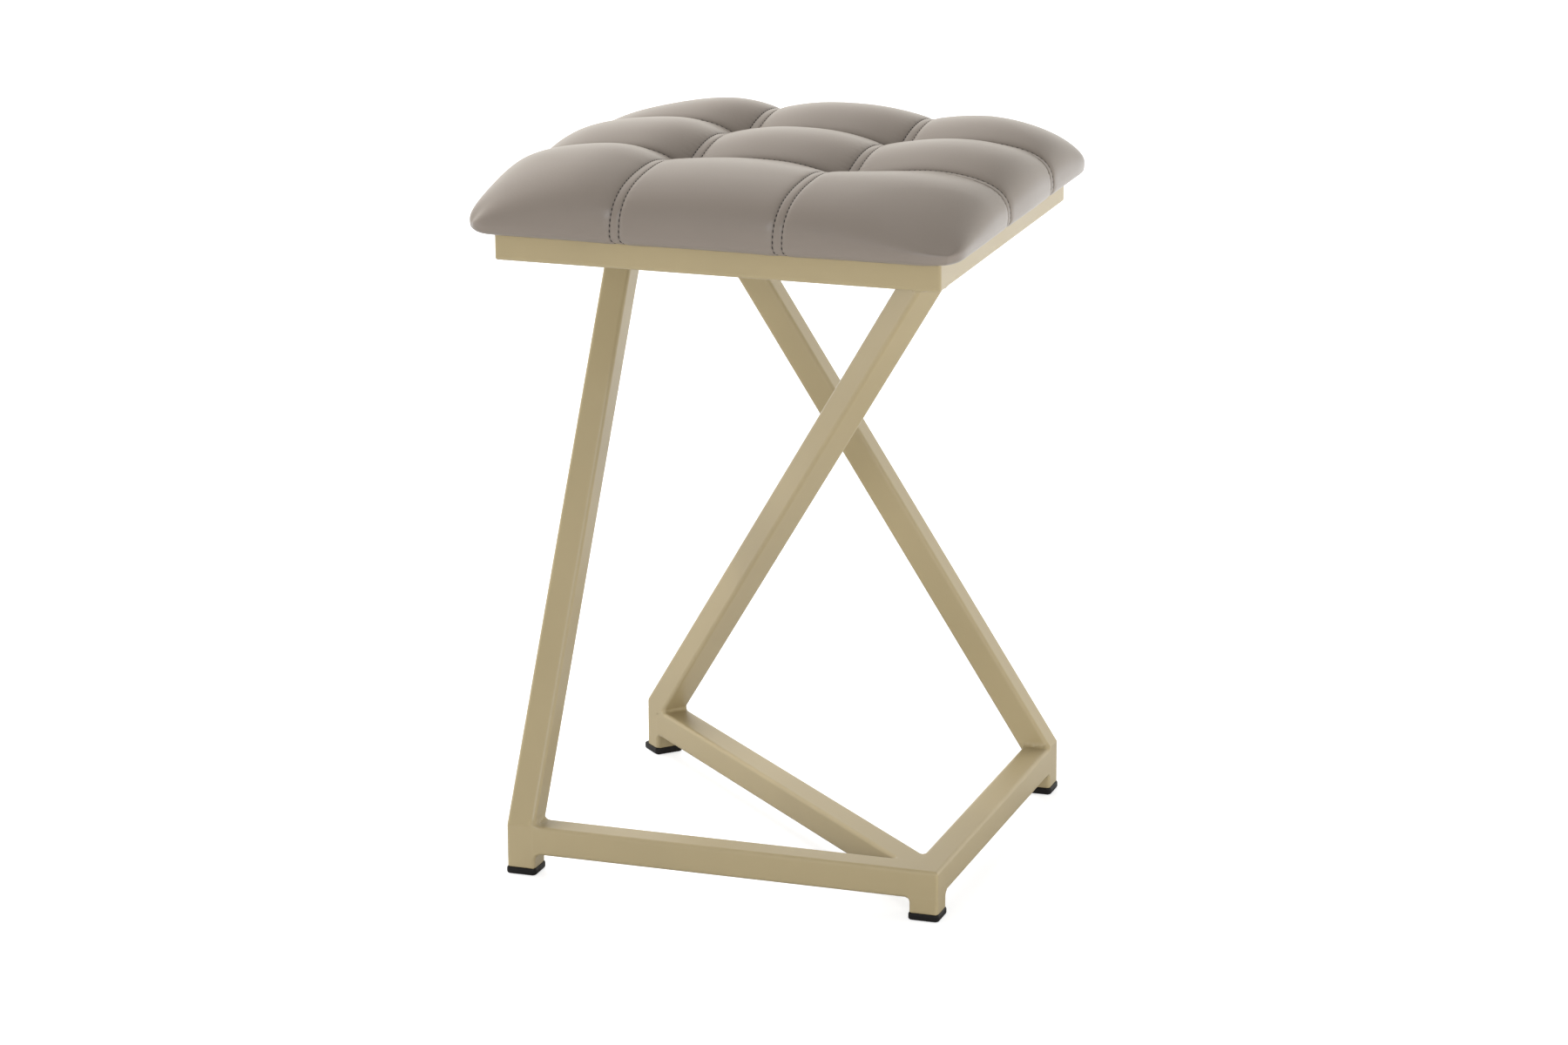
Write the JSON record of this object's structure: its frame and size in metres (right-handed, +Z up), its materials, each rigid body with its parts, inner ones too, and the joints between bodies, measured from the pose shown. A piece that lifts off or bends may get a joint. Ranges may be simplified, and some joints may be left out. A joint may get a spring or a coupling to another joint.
{
  "type": "stool",
  "caption": "Backless stool with a square quilted pad on a welded square-tube frame, whose leaning legs cross like an X above open floor rails.",
  "frame": {"origin": "on the floor, under the middle of the seat", "axes": "+Z up; -Y is the front, with the base rail that joins two feet along X; +X is the side with the other straight base rail"},
  "size_m": [0.34, 0.324, 0.497],
  "materials": {
    "painted_steel": "champagne powder coat, satin",
    "leather": "taupe, satin",
    "black_plastic": "matte black",
    "plywood": "raw plywood",
    "foam": "open-cell polyurethane foam",
    "black_fabric": "non-woven cloth",
    "zinc_steel": "zinc plated"
  },
  "bodies": {
    "root": {"seat_rail_front": "painted_steel", "seat_rail_back": "painted_steel", "seat_rail_left": "painted_steel", "seat_rail_right": "painted_steel", "foot_front_left": "painted_steel", "leg_left": "painted_steel", "foot_back_right": "painted_steel", "leg_back": "painted_steel", "foot_back_left": "painted_steel", "leg_diagonal": "painted_steel", "base_rail_front": "painted_steel", "base_rail_right": "painted_steel", "base_rail_diagonal": "painted_steel", "foot_front_right": "painted_steel", "seat_tab_front_left": "painted_steel", "seat_bolt_front_left": "zinc_steel", "tee_nut_front_left": "zinc_steel", "glide_front_left": "black_plastic", "seat_tab_front_right": "painted_steel", "seat_bolt_front_right": "zinc_steel", "tee_nut_front_right": "zinc_steel", "glide_front_right": "black_plastic", "seat_tab_back_left": "painted_steel", "seat_bolt_back_left": "zinc_steel", "tee_nut_back_left": "zinc_steel", "glide_back_left": "black_plastic", "seat_tab_back_right": "painted_steel", "seat_bolt_back_right": "zinc_steel", "tee_nut_back_right": "zinc_steel", "glide_back_right": "black_plastic", "dust_cover": "black_fabric", "seat_board": "plywood", "foam_pad": "foam", "seat_cover": "leather"}
  },
  "joints": []
}
